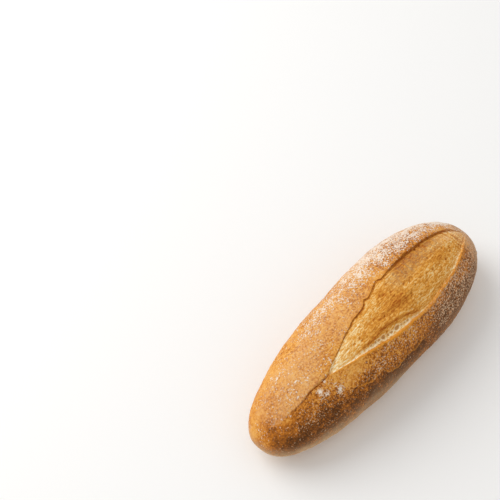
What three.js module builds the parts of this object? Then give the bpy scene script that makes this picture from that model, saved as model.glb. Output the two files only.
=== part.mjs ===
// A mini baguette: one baked loaf whose single long cut has opened along the top.
//
// Millimetres, +Z up. +X runs along the loaf to its broad end, where the cut is widest open, and
// the cut leans towards -Y. The origin is the middle of the loaf's box, at the base.
//
// A station is a place along the loaf, from -1 at the slim end to 1 at the broad end. A lean is an
// angle round the section, in degrees from the top towards -Y.

import * as THREE from "three";
import { mergeVertices } from "three/addons/utils/BufferGeometryUtils.js";

const { clamp, degToRad, lerp, smoothstep } = THREE.MathUtils;

// Size of the loaf
const LENGTH = 180;
const WIDTH = 61.6;
const HEIGHT = 49;

// Plan of the loaf: the widest station, and powers that swell each half and round its end
const WIDEST_STATION = 0.29;
const SLIM_HALF_SWELL = 2.31;
const BROAD_HALF_SWELL = 1.87;
const END_BLUNTNESS = 2.5;
const SIDE_VIEW_FULLNESS = 1.15;

// Section of the loaf: the widest line's share of the height, and powers that round each part
const BELLY_SHARE = 0.42;
const FLANK_POWER = 0.9;
const CROWN_POWER = 0.95;
const BASE_POWER = 0.6;

// Base: the ends curve up to tips clear of the table, and the middle is pressed flat
const TIP_LIFT = 15;
const TIP_LIFT_POWER = 4.5;
const BASE_PRESS = 0.8;

// Slow swellings of the crust: height, waves along the loaf, waves round it, and phase
const SWELLINGS = [
  { height: 0.22, along: 7.3, around: 2, phase: 0.7 },
  { height: 0.15, along: 12.1, around: -3, phase: 2.4 },
  { height: 0.12, along: 17.9, around: 4, phase: 4.1 },
];
const SWELLING_FADE_POWER = 4;

// The cut, in stations and degrees of lean
const CUT_LEAN = 15;
const CUT_POINT = -0.46;
const CUT_END = 0.915;
const CUT_HALF_GAPE = 27.5;
const GAPE_RUN = 0.5;
const GAPE_POWER = 1.7;
const FLAP_CLOSING = [0.8, 1];
const RIDGE_CLOSING = [0.62, 0.98];
const END_HALF_GAPE = 6;
const DEEPENING = [-0.51, -0.16];
const SHALLOWING = [0.72, 0.93];

// The closed crease that runs on from the cut's point, and the even spread of lines at the tips
const CREASE_END = -0.85;
const CREASE_FADE = 0.2;
const CREASE_HALF_GAPE = 3;
const CREASE_DEPTH = 1.1;
const CREASE_FLAP_SHARE = 0.5;
const TIP_HALF_GAPE = 24;
const SEAM_SHARE = 0.08;

// Across the cut: the flap overhangs on the +Y side, a thin ridge stands on the -Y side. The flap's
// profile climbs from the crumb, under the flap and out round its edge.
const FLAP_RISE = 1.3;
const FLAP_REACH = 16;
const FLAP_UNDERCUT = 2.6;
const RIDGE_RISE = 1;
const RIDGE_REACH = 5;
const FLAP_PROFILE = [
  { seam: 1, under: 0, up: 0 },
  { seam: 0.7, under: 1, up: 0 },
  { seam: 0.45, under: 0.7, up: 0.6 },
  { seam: 0.2, under: -0.2, up: 0.75 },
];
const CRUMB_SUNK = 0.5;
const CRUMB_EDGE_DEPTH = 2.4;
const CRUMB_EDGE_POWER = 3;

// Torn steps in the flap's edge: the station of each step, its run-up, and its size in degrees
const FLAP_TEARS = [
  { station: 0.04, run: 0.12, size: 4.5 },
  { station: 0.19, run: 0.1, size: 3 },
  { station: 0.6, run: 0.16, size: 2 },
];

// Stretched trough beside the ridge and the fold above it, across the crumb from -1 to 1
const TROUGH = { place: -0.72, halfWidth: 0.17, height: -1.5, from: -0.32, to: 0.26, fade: 0.12 };
const FOLD = { place: -0.4, halfWidth: 0.13, height: 0.8, from: -0.2, to: 0.22, fade: 0.1 };
const BULGE = { place: 0.15, halfWidth: 0.5, height: 0.5, from: 0.1, to: 0.85, fade: 0.2 };

// Torn ledge on the -Y flank, with a hollow under it
const LEDGE_STATIONS = [-0.42, 0.2];
const LEDGE_FADE = 0.1;
const LEDGE_LEANS = [54, 70];
const LEDGE_RISE = 0.6;
const LEDGE_HOLLOW = 1.1;
const LEDGE_SHARPNESS = 5;
const LEDGE_SPREAD = 26;

// Steps of the mesh along the loaf, and round it from the middle of the base
const STATION_STEPS = 104;
const ZONES = [
  { steps: 19, place: ridgeSideCrust },
  { steps: 2, place: ridgeEdge },
  { steps: 11, place: crumb },
  { steps: FLAP_PROFILE.length, place: flapEdge },
  { steps: 19, place: flapSideCrust },
];
const SECTION = ZONES.flatMap(({ steps, place }) =>
  Array.from({ length: steps }, (_, step) => ({ place, share: step / steps })),
);
const CRUST_EASE = 0.35;

const CRUST_COLOUR = 0xc08a4c;
const CRUST_ROUGHNESS = 0.85;

// Rises from 0 to 1 and falls back again, with a soft fade inside each end
function between(value, from, to, fade) {
  return smoothstep(value, from, from + fade) * (1 - smoothstep(value, to - fade, to));
}

// Point on the smooth loaf before it was cut
function skinPoint(station, lean) {
  const slim = station < WIDEST_STATION;
  const swell = slim ? SLIM_HALF_SWELL : BROAD_HALF_SWELL;
  const reach = slim ? 1 + WIDEST_STATION : 1 - WIDEST_STATION;
  const away = Math.min(Math.abs(station - WIDEST_STATION) / reach, 1);
  const sideSwell = swell * SIDE_VIEW_FULLNESS;
  const sideBluntness = END_BLUNTNESS * SIDE_VIEW_FULLNESS;
  const halfWidth = (WIDTH / 2) * (1 - away ** swell) ** (1 / END_BLUNTNESS);
  const height = HEIGHT * (1 - away ** sideSwell) ** (1 / sideBluntness);
  const belly = BELLY_SHARE * height;
  const across = Math.sin(degToRad(lean));
  const up = Math.cos(degToRad(lean));
  const y = -halfWidth * Math.sign(across) * Math.abs(across) ** FLANK_POWER;
  const above = (height - belly) * Math.max(up, 0) ** CROWN_POWER;
  const below = belly * Math.max(-up, 0) ** BASE_POWER;
  const z = belly + above - below;
  const curl = 1 - Math.sqrt(1 - away ** TIP_LIFT_POWER);
  const lift = TIP_LIFT * curl * (1 - z / HEIGHT);
  return new THREE.Vector3((station * LENGTH) / 2, y, z + lift);
}

// Direction straight out of the smooth loaf, or zero at its tips
function outward(station, lean) {
  const stationStep = 0.002;
  const leanStep = 0.5;
  const ahead = skinPoint(Math.min(station + stationStep, 1), lean);
  const behind = skinPoint(Math.max(station - stationStep, -1), lean);
  const more = skinPoint(station, lean + leanStep);
  const less = skinPoint(station, lean - leanStep);
  return more.sub(less).cross(ahead.sub(behind)).normalize();
}

function swellings(station, lean) {
  let height = 0;
  for (const wave of SWELLINGS) {
    height += wave.height * Math.sin(wave.along * station + wave.around * degToRad(lean) + wave.phase);
  }
  return height * (1 - Math.abs(station) ** SWELLING_FADE_POWER);
}

// Quarter ellipse from 1 down to 0 over the given span
function roundOff(share, [from, to]) {
  return Math.sqrt(1 - clamp((share - from) / (to - from), 0, 1) ** 2);
}

function flapTears(station) {
  let size = 0;
  for (const tear of FLAP_TEARS) {
    const climb = (station - tear.station) / tear.run + 1;
    if (climb > 0 && climb < 1) {
      size += tear.size * climb ** 2;
    }
  }
  return size;
}

// What the cut is like at one station: its edges in degrees of lean, and how deep it is there
function cutAt(station) {
  const share = (station - CUT_POINT) / (CUT_END - CUT_POINT);
  const rise = 1 - (1 - clamp(share / GAPE_RUN, 0, 1)) ** GAPE_POWER;
  const least = station > WIDEST_STATION ? END_HALF_GAPE : CREASE_HALF_GAPE;
  const tip = Math.max(smoothstep(-station, -CREASE_END, 1), smoothstep(station, CUT_END, 1));
  const flapOpen = Math.max(CUT_HALF_GAPE * rise * roundOff(share, FLAP_CLOSING), least);
  const ridgeOpen = Math.max(CUT_HALF_GAPE * rise * roundOff(share, RIDGE_CLOSING), least);
  const flapHalf = lerp(flapOpen, TIP_HALF_GAPE, tip);
  const ridgeHalf = lerp(ridgeOpen, TIP_HALF_GAPE, tip);
  const deep = smoothstep(station, ...DEEPENING) * (1 - smoothstep(station, ...SHALLOWING));
  const crease = between(station, CREASE_END, CUT_POINT + CREASE_FADE, CREASE_FADE);
  return {
    station,
    flap: CUT_LEAN - flapHalf - flapTears(station) * deep,
    ridge: CUT_LEAN + ridgeHalf,
    seam: Math.min(flapHalf, ridgeHalf) * SEAM_SHARE,
    deep,
    crease,
  };
}

// Height of a long low form that lies along the crumb
function alongCrumb(form, across, station) {
  const near = ((across - form.place) / form.halfWidth) ** 2;
  return form.height * Math.exp(-near) * between(station, form.from, form.to, form.fade);
}

function crumbHeight(across, cut) {
  const sunk = lerp(CRUMB_SUNK, CRUMB_EDGE_DEPTH, Math.abs(across) ** CRUMB_EDGE_POWER);
  const forms = [TROUGH, FOLD, BULGE].reduce((sum, form) => sum + alongCrumb(form, across, cut.station), 0);
  const groove = CREASE_DEPTH * cut.crease * (1 - Math.abs(across));
  return cut.deep * (forms - sunk) - groove;
}

function ledgeHeight(station, lean) {
  const share = (station - LEDGE_STATIONS[0]) / (LEDGE_STATIONS[1] - LEDGE_STATIONS[0]);
  const below = lean - lerp(LEDGE_LEANS[0], LEDGE_LEANS[1], share);
  const shown = between(station, LEDGE_STATIONS[0], LEDGE_STATIONS[1], LEDGE_FADE);
  const lip = LEDGE_RISE * Math.exp(-((below / LEDGE_SHARPNESS) ** 2));
  const dip = smoothstep(below, 0, LEDGE_SHARPNESS);
  const recovery = 1 - smoothstep(below, LEDGE_SHARPNESS, LEDGE_SPREAD);
  return shown * (lip - LEDGE_HOLLOW * dip * recovery);
}

function flapHeight(lean, cut) {
  const rise = FLAP_RISE * Math.max(cut.deep, cut.crease * CREASE_FLAP_SHARE);
  return rise * Math.exp(-Math.max(cut.flap - lean, 0) / FLAP_REACH);
}

function ridgeHeight(lean, cut) {
  return RIDGE_RISE * cut.deep * Math.exp(-Math.max(lean - cut.ridge, 0) / RIDGE_REACH);
}

// Each zone turns a share of its way round the section into a lean and a height off the loaf
function ridgeSideCrust(share, cut) {
  const lean = lerp(180, cut.ridge, share * (1 + CRUST_EASE - CRUST_EASE * share));
  return [lean, ridgeHeight(lean, cut) + ledgeHeight(cut.station, lean)];
}

function ridgeEdge(share, cut) {
  const lean = cut.ridge - cut.seam * share;
  return [lean, lerp(ridgeHeight(cut.ridge, cut), crumbHeight(-1, cut), share ** 2)];
}

function crumb(share, cut) {
  const lean = lerp(cut.ridge - cut.seam, cut.flap + cut.seam, share);
  return [lean, crumbHeight(2 * share - 1, cut)];
}

function flapEdge(share, cut) {
  const { seam, under, up } = FLAP_PROFILE[Math.round(share * FLAP_PROFILE.length)];
  const lean = cut.flap + cut.seam * seam - FLAP_UNDERCUT * cut.deep * under;
  return [lean, lerp(crumbHeight(1, cut), flapHeight(cut.flap, cut), up)];
}

function flapSideCrust(share, cut) {
  const lean = lerp(cut.flap, -180, share * (1 - CRUST_EASE + CRUST_EASE * share));
  return [lean, flapHeight(lean, cut)];
}

function loafPoint(station, { place, share }) {
  const [lean, height] = place(share, cutAt(station));
  const point = skinPoint(station, lean);
  point.addScaledVector(outward(station, lean), height + swellings(station, lean));
  point.z = Math.max(point.z - BASE_PRESS, 0);
  return point;
}

function loafGeometry() {
  const geometry = new THREE.SphereGeometry(1, SECTION.length, STATION_STEPS);
  const { position, uv } = geometry.attributes;
  for (let index = 0; index < position.count; index += 1) {
    const station = -Math.cos(Math.PI * (1 - uv.getY(index)));
    const step = Math.round(uv.getX(index) * SECTION.length) % SECTION.length;
    const point = loafPoint(station, SECTION[step]);
    position.setXYZ(index, point.x, point.y, point.z);
  }
  geometry.deleteAttribute("normal");
  geometry.deleteAttribute("uv");
  const loaf = mergeVertices(geometry);
  loaf.computeBoundingBox();
  const middle = loaf.boundingBox.getCenter(new THREE.Vector3());
  loaf.translate(-middle.x, -middle.y, -loaf.boundingBox.min.z);
  loaf.computeVertexNormals();
  return loaf;
}

const crust = new THREE.MeshStandardMaterial({
  color: CRUST_COLOUR,
  roughness: CRUST_ROUGHNESS,
  metalness: 0,
});

const loaf = new THREE.Mesh(loafGeometry(), crust);
loaf.name = "loaf";

const baguette = new THREE.Group();
baguette.name = "mini_baguette";
baguette.add(loaf);

export default baguette;
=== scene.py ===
"""A mini baguette with an opened cut, on a plain pale floor in soft studio light."""

import math

import bmesh
import bpy
import numpy as np
from mathutils import Color, Matrix, Vector, noise


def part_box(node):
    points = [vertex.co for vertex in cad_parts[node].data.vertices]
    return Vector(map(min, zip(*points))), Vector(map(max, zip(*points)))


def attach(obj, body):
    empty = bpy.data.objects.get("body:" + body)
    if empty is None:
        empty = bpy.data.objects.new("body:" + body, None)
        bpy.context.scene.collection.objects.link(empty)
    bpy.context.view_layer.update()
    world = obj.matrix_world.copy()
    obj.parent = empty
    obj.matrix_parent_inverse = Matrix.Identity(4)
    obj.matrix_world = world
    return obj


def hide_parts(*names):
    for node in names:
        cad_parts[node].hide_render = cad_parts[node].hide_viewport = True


bl_info = {
    "name": "Mini baguette",
    "version": (1, 0, 0),
    "blender": (4, 5, 0),
    "location": "View3D > Sidebar > Baguette",
    "description": "Models a mini baguette with a torn cut, browned crust and flour, and a stage for it",
    "category": "Add Mesh",
}

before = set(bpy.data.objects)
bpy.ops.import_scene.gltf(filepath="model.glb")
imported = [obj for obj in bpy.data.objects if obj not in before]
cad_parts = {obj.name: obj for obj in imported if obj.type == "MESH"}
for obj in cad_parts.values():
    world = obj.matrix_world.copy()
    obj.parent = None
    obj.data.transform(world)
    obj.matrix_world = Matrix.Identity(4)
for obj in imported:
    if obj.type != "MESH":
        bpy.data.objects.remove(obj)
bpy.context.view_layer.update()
LOAF_LOW, LOAF_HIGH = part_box("loaf")

MM = 0.001

# A station goes from -1 at the slim end to 1 at the broad end, and a run is the same place in mm
# A lean is an angle round the section in degrees, from the top towards -Y
# A line or an outline has rows of a run, lean or height and the value there
# A patch is run, lean, spread in mm and in degrees, share
# A field is run from, to and fade, lean from, to and fade, share

# Run at the broad end, and length in mm of a degree of lean, about
HALF_RUN = 90.0
DEGREE = 0.5

# Settings of the loaf that are lengths
LENGTHS = (
    "length", "width", "height", "flap_rise", "ridge_rise", "ledge_hollow", "blister_height", "pore_depth",
)

# Plan of the loaf
WIDEST_STATION = 0.29
SLIM_HALF_SWELL = 2.31
BROAD_HALF_SWELL = 1.87
END_BLUNTNESS = 2.5

# Section of the loaf
BASE_LEAN = 180.0
SIDE_VIEW_FULLNESS = 1.15
BELLY_SHARE = 0.42
FLANK_POWER = 0.9
CROWN_POWER = 0.95
BASE_POWER = 0.6
TIP_LIFT = 15.0
TIP_LIFT_POWER = 4.5
BASE_PRESS = 0.8

# Slow swellings of the crust: height in mm, waves along, waves round, phase
SWELLINGS = ((0.22, 7.3, 2, 0.7), (0.15, 12.1, -3, 2.4), (0.12, 17.9, 4, 4.1))
SWELLING_FADE_POWER = 4
RELIEF_FADE_POWER = 24

# Steps in stations and degrees that find the way out of the skin, and the least length that has one
STATION_STEP = 0.002
LEAN_STEP = 0.5
TINY = 1e-9

# The closed crease and the two edges that open from it
CREASE_LINE = ((-90, 14.5), (-74, 14.3), (-66, 17), (-58, 14.8), (-50, 16.8))
FLAP_LINE = (
    *CREASE_LINE, (-45.5, 16.3), (-42.5, 13.5), (-39.5, 11), (-32.9, 7), (-27.7, 3.9), (-22.4, 1.2),
    (-13.2, -2), (-5.4, -2.6), (-2.1, -4.6), (0.3, -8.2), (1.4, -6.2), (3.8, -6), (10.4, -10.2),
    (15, -12.2), (16.8, -9.2), (21, -10.2), (30, -11.2), (46, -10.6), (61, -9.2), (67, -8),
    (74, -4.2), (78.5, 2), (81, 8), (82.5, 15), (90, 16),
)
RIDGE_LINE = (
    *CREASE_LINE, (-45.5, 17.3), (-42, 19.5), (-30.3, 26.8), (-21.9, 30.8), (-15, 34.3), (-8.3, 37.7),
    (-1.5, 40), (4.1, 42), (11.4, 42.4), (20, 44.5), (26.7, 44.7), (34.6, 43), (43.5, 40.8),
    (52.6, 39), (62.1, 33.9), (67.8, 30.6), (75, 25.2), (80, 20.3), (82.5, 17), (90, 16),
)

# The fold in the crumb and the torn ledge on the -Y flank
FOLD_LINE = (
    (-32, 21), (-21.6, 23.6), (-14, 24.8), (-8.6, 24.4), (-4.1, 24.3), (1, 26.6), (6.5, 28.8),
    (11.3, 32.3), (14.5, 36), (22, 41),
)
LEDGE_LINE = (
    (-48, 50), (-43.4, 52.8), (-38.9, 50), (-34.3, 56), (-29, 61.3), (-23.8, 60.2), (-20.5, 57.1),
    (-17.5, 69), (-10, 74.5), (-3.4, 69.6), (1.9, 71.2), (5.1, 74.5), (9.7, 71.2), (17, 73.4),
)
LINE_EASE = 0.7

# Stations where the cut is open and deep and where the crease shows
OPENING = (-0.50, -0.47)
CLOSING = (0.875, 0.94)
DEEPENING = (-0.53, -0.18)
SHALLOWING = (0.76, 0.94)
CREASE_STATIONS = (-0.86, -0.26, 0.2)
CRACK_STATIONS = (-0.74, -0.38, 0.12)
CREASE_DEPTH = 0.8
CREASE_FLAP_SHARE = 0.5

# Least openings in degrees, so that the mesh lines stay apart where the cut is shut
CREASE_HALF_GAPE = 1.2
END_HALF_GAPE = 5.0
TIP_HALF_GAPE = 24.0
TIP_STATIONS = (-0.86, 0.93)
SEAM_SHARE = 0.08

# The flap: reach and undercut of its edge in degrees, its growth and its ragged run
FLAP_REACH = 16.0
FLAP_UNDERCUT = 2.8
FLAP_GROWN = ((-90, 0.5), (-25, 0.45), (-8, 0.3), (14, 0.3), (36, 1), (90, 1))
FLAP_RAGS = ((0.5, 9), (0.5, 3))

# Profile of the flap's edge, from the crumb up: share of the way, and shares of seam, undercut and height
FLAP_PROFILE = (
    (0, 1, 0, 0), (0.25, 0.7, 1, 0.05), (0.5, 0.45, 0.8, 0.55),
    (0.75, 0.2, -0.15, 0.7), (0.9, 0.1, -0.2, 0.9), (1, 0, 0, 1),
)

# How the edges of the cut differ on the broad half
FAR_LIP = (0.15, 0.4)
FAR_SEAM_GROWTH = 0.1
FAR_UNDERCUT_LOSS = 0.2
FAR_SLOPE_LOSS = 0.35

# The ridge: its reach and the slope of its inner face in degrees, and its breaks and ragged run
RIDGE_REACH = 3.0
RIDGE_SLOPE = 3.2
RIDGE_FALL = (-0.1, 1)
RIDGE_BREAKS = ((0.45, 4),)
RIDGE_RAGS = ((0.6, 10), (0.6, 3.5), (0.5, 1.5))

# The crumb, in mm below the smooth loaf
CRUMB_SUNK = 0.3
CRUMB_FLAP_DEPTH = 1.15
CRUMB_RIDGE_DEPTH = 0.8
CRUMB_EDGE_POWER = 3
CRUMB_BULGE = (0.15, 0.5, 0.6)
CRUMB_BULGE_STATIONS = (0.1, 0.85, 0.2)

# The fold that arches across the crumb, and the stretched trough between it and the ridge
FOLD_RISE = 0.5
FOLD_SPREADS = (7, 1.6)
FOLD_STATIONS = (-0.32, 0.24, 0.12)
TROUGH_DEPTH = 0.85
TROUGH_FLOOR = 0.8
TROUGH_LEAST = 3.0
TROUGH_STATIONS = (-0.36, 0.25, 0.12)

# The torn ledge, and the overhanging profile of its edge as share of the way up, lean and height
LEDGE_STATIONS = (-0.5, 0.2, 0.08)
LEDGE_RAGS = ((0.9, 3),)
LEDGE_RISE = 0.45
LEDGE_RISE_REACH = 6.0
LEDGE_UNDERCUT = 2.2
LEDGE_SEAM = 0.5
LEDGE_SPREAD = 26.0
LEDGE_PROFILE = ((0, -0.2, 0), (0.3, 1, 0.1), (0.55, 0.7, 0.6), (0.8, -0.1, 0.85), (1, 0, 1))

# Steps of the mesh along the loaf, and round it in seven zones from the middle of the base
STEPS_ALONG = 400
ZONE_STEPS = (44, 5, 32, 5, 72, 9, 81)
STEPS_ROUND = sum(ZONE_STEPS)
CRUST_EASE = 0.35
TIP_CROWDING = 0.85

# Numbers of the zones that look different from plain crust
HIGH_FLANK, RIDGE, CRUMB, LIP = range(2, 6)

# Where crust turns into crumb down the ridge's inner face and up the flap's edge
RIDGE_CRUMB = (0.35, 0.65)
NEAR_LIP_CRUMB = (0.35, 0.75)
FAR_LIP_CRUMB = (0, 0.4)

# Fringe of crumb that laps over the ridge at the broad tip, in degrees and stations
FRINGE_REACH = 6.0
FRINGE_STATIONS = (0.76, 0.86)

# Golden rim of the ridge: width in degrees, soft edge, end, and gaps on the broad half
RIM_WIDTH = ((-90, 0.9), (-25, 1), (-8, 1.2), (0, 1.7), (9, 1.6), (22, 0.5), (90, 0.5))
RIM_EDGE = (0.7, 1.2)
RIM_END = (0.67, 0.78)
RIM_GAP_SIZE = (HALF_RUN / 28, 1)
RIM_GAPS = (-0.1, 0.25)
RIM_GAP_SHARE = 0.6
RIM_GAP_STATIONS = (0.2, 0.4)

# Golden rims of the flap and the ledge; the ledge's rim is a painted highlight along its lit edge
FLAP_RIM = 0.6
FLAP_RIM_REACH = 1.6
FAR_FLAP_RIM_LOSS = 0.6
LEDGE_HIGHLIGHT_REACH = 1.3

# Fine relief of the crust in mm: grain, dents and blisters, with more of them on the -Y flank
FLANK_FROM = (25, 50)
FLANK_TO = (70, 100)
CRUST_GRAIN = 0.11
FLANK_GRAIN = 0.08
DENT_DEPTH = 0.18
BLISTER_RADIUS = 0.5
BLISTER_DRAW = 0.55
BLISTER_LEAST = 0.35

# How far the draws for neighbouring cells lie apart, and how the octaves of noise fade and shrink
DRAW_SPREAD = 17.0
OCTAVE_FADE = 1.0
OCTAVE_SHRINK = 2.0

# Wrinkle of the crust along the bloom's outer edge
WRINKLE_DEPTH = 0.22
WRINKLE_SPREAD = 1.3
WRINKLE_RUN = (-80, -54, 8)

# Fine relief of the crumb in mm: its share along the loaf, flakes, lumps, grain and pores
CRUMB_ROUGHNESS = ((-90, 0.5), (-36, 0.5), (-18, 0.7), (-5, 1), (15, 1), (30, 0.75), (90, 0.75))
FLAKE_HEIGHT = 0.2
FLAKE_SIZE = (6.5, 1.6)
LUMP_HEIGHT = 0.32
LUMP_SIZE = (14, 3.2)
CRUMB_GRAIN = 0.05
PORE_CELL = (2.6, 2)
PORE_EDGE = (0.15, 0.45)
PORE_DRAW = 0.84
POROUS_DRAW_LOSS = 0.55

# Places with more pores in the crumb: run, lean, spread in mm
POROUS_PATCHES = ((18.4, -3.4, 2.5), (27, 12, 3))

# Fan of wrinkles in the crumb at the broad tip
FAN_STATIONS = (0.70, 0.95, 0.1)
FAN_HEIGHT = 0.26
FAN_WAVES = 2.6
FAN_SLANT = 0.12
FAN_WANDER = 5.0
FAN_SHARE = 0.5
FAN_BREAKS = 0.8
FAN_PALENESS = 1.5

# Open bubbles in the crumb: run, lean, half length and half width in mm, and how shut
BUBBLES = (
    (-17, 28.6, 1, 0.7, 0.4), (-13.8, 29.4, 0.9, 0.9, 0), (-11.5, 30.6, 1, 0.9, 0.1),
    (-8.4, 31.9, 1.5, 1.5, 0), (-5.4, 33.7, 0.9, 1.1, 0.2), (-2.9, 34.6, 1.1, 0.9, 0),
    (1.3, 35.2, 2.1, 1.4, 0), (4.4, 36.4, 0.9, 0.7, 0.4), (6.6, 37.4, 0.9, 0.7, 0.3),
    (9, 38.2, 1.3, 0.8, 0.2), (12.4, 31, 0.7, 0.5, 0.7), (14.8, 31.8, 0.8, 0.6, 0.6),
    (17.4, 31.6, 0.6, 0.5, 0.7), (20, 32.6, 0.8, 0.5, 0.6), (23, 33.2, 0.7, 0.5, 0.7),
)
NO_BUBBLE = 3.0
BUBBLE_CALM = (0.8, 2)
CALM_LEAST = 0.3

# Pale rim of a bubble, in shares of its half width: pale crumb with a painted highlight on the side towards
# the ridge, where the wall faces the light, so fainter away from the ridge
BUBBLE_RIM = 1.05
BUBBLE_RIM_SPREAD = 0.25
BUBBLE_RIM_LEAST = 0.4
BUBBLE_HIGHLIGHT_TURN = (-0.4, 0.6)
BUBBLE_RIM_PALENESS_AND_HIGHLIGHT = 1.7

# Browning round the section, from raw dough at 0 to dark crust at 1
BAKE_ROUND = (
    (-180, 0.55), (-100, 0.60), (-85, 0.50), (-55, 0.35), (-40, 0.34), (-12, 0.42), (15, 0.42), (42, 0.44),
    (55, 0.48), (64, 0.66), (72, 0.91), (85, 0.92), (110, 0.80), (180, 0.55),
)
BAKE_ROUND_SLIM_END = (
    (-180, 0.55), (-100, 0.60), (-85, 0.46), (-55, 0.31), (0, 0.32), (13.5, 0.37), (15, 0.58), (18, 0.50),
    (24, 0.57), (42, 0.76), (52, 0.90), (62, 0.94), (75, 0.93), (110, 0.80), (180, 0.55),
)
SLIM_CREASE_LEAN = 15.0
SLIM_END_STATIONS = (0.42, 0.62)

# Browning up the tips, by height in mm
BAKE_UP_SLIM_TIP = (
    (0, 0.80), (14, 0.85), (17.5, 0.83), (20.5, 0.75), (23.5, 0.66), (26.5, 0.57), (29, 0.49), (31, 0.43),
    (34.5, 0.36), (45, 0.34),
)
BAKE_UP_BROAD_TIP = ((0, 0.80), (20, 0.82), (28, 0.74), (34, 0.56), (38, 0.40), (42, 0.32), (47, 0.29))
TIP_SIDE_SHARE = 0.6
TIP_BAKE_STATIONS = (0.78, 0.94)

# Paler end of the slim tip, paler crust with painted bounce light, in stations and in mm across
SLIM_TIP_PALENESS_AND_BOUNCE = 0.28
SLIM_TIP_STATIONS = (0.93, 0.99)
SLIM_TIP_SIDE = (-12, -2)

# Fields and patches of the crust that browned more or less
BAKED_FIELDS = (
    (9, 200, 36, -80, 5, 15, 0.13), (9, 200, 36, 46, 95, 15, 0.16), (-200, -54, 18, -30, 20, 10, 0.09),
)
BAKED_PATCHES = (
    (-35, 53, 12, 7, 0.34), (70, 44, 8, 9, 0.08), (70, -10, 14, 12, -0.15), (-36, -18, 18, 8, -0.08),
    (-18, -5, 8, 6, -0.08),
)

# Browning beside the ridge: stations from and to and share, and its limits
RIDGE_BROWNING = ((-0.4, -0.1, 0.04), (0.05, 0.25, 0.17))
RIDGE_BROWNING_END = (0.78, 0.90)
BESIDE_RIDGE = (1, 3)
BELOW_RIDGE = (55, 75)

# Painted shade below the ledge's overhang, and slow changes of all the browning
LEDGE_SHADE = 0.1
UNDER_LEDGE_FROM = (-0.5, 0.8)
UNDER_LEDGE_TO = (16, 32)
BAKE_DRIFT = 0.09

# Dough that stayed pale near the base
RAW_ROUND = (
    (-180, 0.75), (-115, 0.65), (-100, 0.36), (-88, 0.10), (-75, 0), (68, 0), (77, 0.04), (88, 0.17),
    (99, 0.50), (110, 0.75), (180, 0.75),
)
RAW_DRIFT = 0.5

# How far the pale dough drops on the -Y flank, in degrees
RAW_DROP = ((-90, -8), (-75, -3), (-50, -3), (-20, -4), (0, 5), (20, 14), (40, 7), (60, 3), (90, 0))
RAW_DROP_LEANS = (40, 70)

# Pale dough under the slim tip, with painted bounce light
RAW_TIP_AND_BOUNCE = 0.75
RAW_TIP_RUN = (76, 87)
RAW_TIP_HEIGHT = (11, 23)

# Bare golden band beside the flap's edge, and how much it takes of other looks; the browning it takes away
# paints a golden highlight
LIP_BAND = (
    (-90, 0), (-54, 0), (-46, 1), (-32, 1), (-24, 0.1), (0, 0.1), (8, 0.6), (18, 0.7), (26, 0), (90, 0),
)
LIP_BAND_EDGE = (-17, -6)
LIP_BAND_HIGHLIGHT = 0.1
LIP_BAND_BLOOM_LOSS = 0.9
LIP_BAND_FLOUR_LOSS = 0.5

# Dusty bloom on the flap: its outer edge and its share
BLOOM_EDGE = (
    (-90, 14), (-77, -9), (-70, -18), (-62, -25), (-50, -33), (-40, -40), (-20, -50), (0, -60), (40, -85),
    (90, -100),
)
BLOOM_ALONG = (
    (-90, 0.24), (-75, 0.26), (-45, 0.26), (-20, 0.22), (10, 0.2), (40, 0.07), (70, 0.07), (90, 0.2),
)
BLOOM_EASE = 6.0
BLOOM_INNER_EDGE = (-2, 2)

# Bloom elsewhere: fields on the crust and the broad tip, and a combed field past the flap's edge that paints
# the shade of the flap's lip on the crumb
BLOOM_FIELDS = ((4, 110, 30, 34, 100, 12, 0.07), (-88, -48, 10, -48, 6, 14, 0.2))
BLOOM_TIP = 0.65
BLOOM_TIP_STATIONS = (0.74, 0.92)
SHADE_PAST_LIP = (10.8, 76.5, 12.6, 0, 22, 9, 0.32)
COMB_SWING = 1.6
COMB_SIZE = (1.3, 12)

# Fields of flour, and flour low on the flanks
FLOUR_FIELDS = (
    (-5, 110, 30, -86, 0, 26, 0.48), (16, 110, 24, -90, -28, 16, 0.12), (22, 84, 14, -30, -2, 9, 0.10),
    (-50, 110, 26, -80, -10, 26, 0.42), (-86, -20, 16, -46, 18, 16, 0.12), (-78, -36, 14, 15, 62, 14, 0.26),
    (-50, 30, 16, 34, 72, 12, 0.34), (12, 110, 22, 31, 88, 12, 0.54), (66, 110, 14, -60, 40, 30, 0.36),
)
FLOUR_BASE = 0.4
FLOUR_BASE_LEANS = (85, 115)
DUST_RANGE = (-0.4, 2)

# Edges of the cut that are bare of flour, in degrees
LIP_BARE = (-3, 3, 2)
NEAR_LIP_BARE = 0.7
FAR_LIP_BARE = 0.2
RIDGE_BARE = (-2.5, 2.5, 1.5)
RIDGE_BARE_SHARE = 0.3

# Patches where flour lies thick: run, lean, spread in mm
FLOUR_PATCHES = (
    (-54.6, 23.6, 2), (-52.6, 31.6, 1.6), (-45.8, 38.8, 2.4), (-49.5, 18.6, 0.9), (31, -31, 2.2),
    (-58.5, -4.7, 0.9), (-67, -2.3, 0.6), (-77.1, 10.4, 0.7), (-62.8, -40.4, 0.6), (-56.7, -18.4, 0.6),
    (-62.4, 3.2, 0.6), (-64, 7.9, 0.7), (21.5, -34.2, 2.4), (0.2, -37.7, 1.5), (-5, -41.7, 1.1),
    (31.8, -21.1, 1.3),
)
THICK_DUST = 1.5

# Toasting of the crumb along the cut, with its clouds and streaks
TOAST_LEAST = 0.2
OPEN_TOAST = 0.3
OPEN_TOAST_STATIONS = (-0.46, -0.1)
FAR_TOAST = 0.05
PATCH_TOAST = 0.16
PATCH_SIZE = (12, 14)
STREAK_TOAST = 0.22
STREAK_SIZE = (12, 1.6)
CRUMB_WIDTH = 26.0
# Share of the painted shade in the pores, and of the paleness of fan wrinkles and bubble rims
PORE_SHADE_AND_PALENESS = 0.25
TOAST_RANGE = (0.04, 1)
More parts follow.
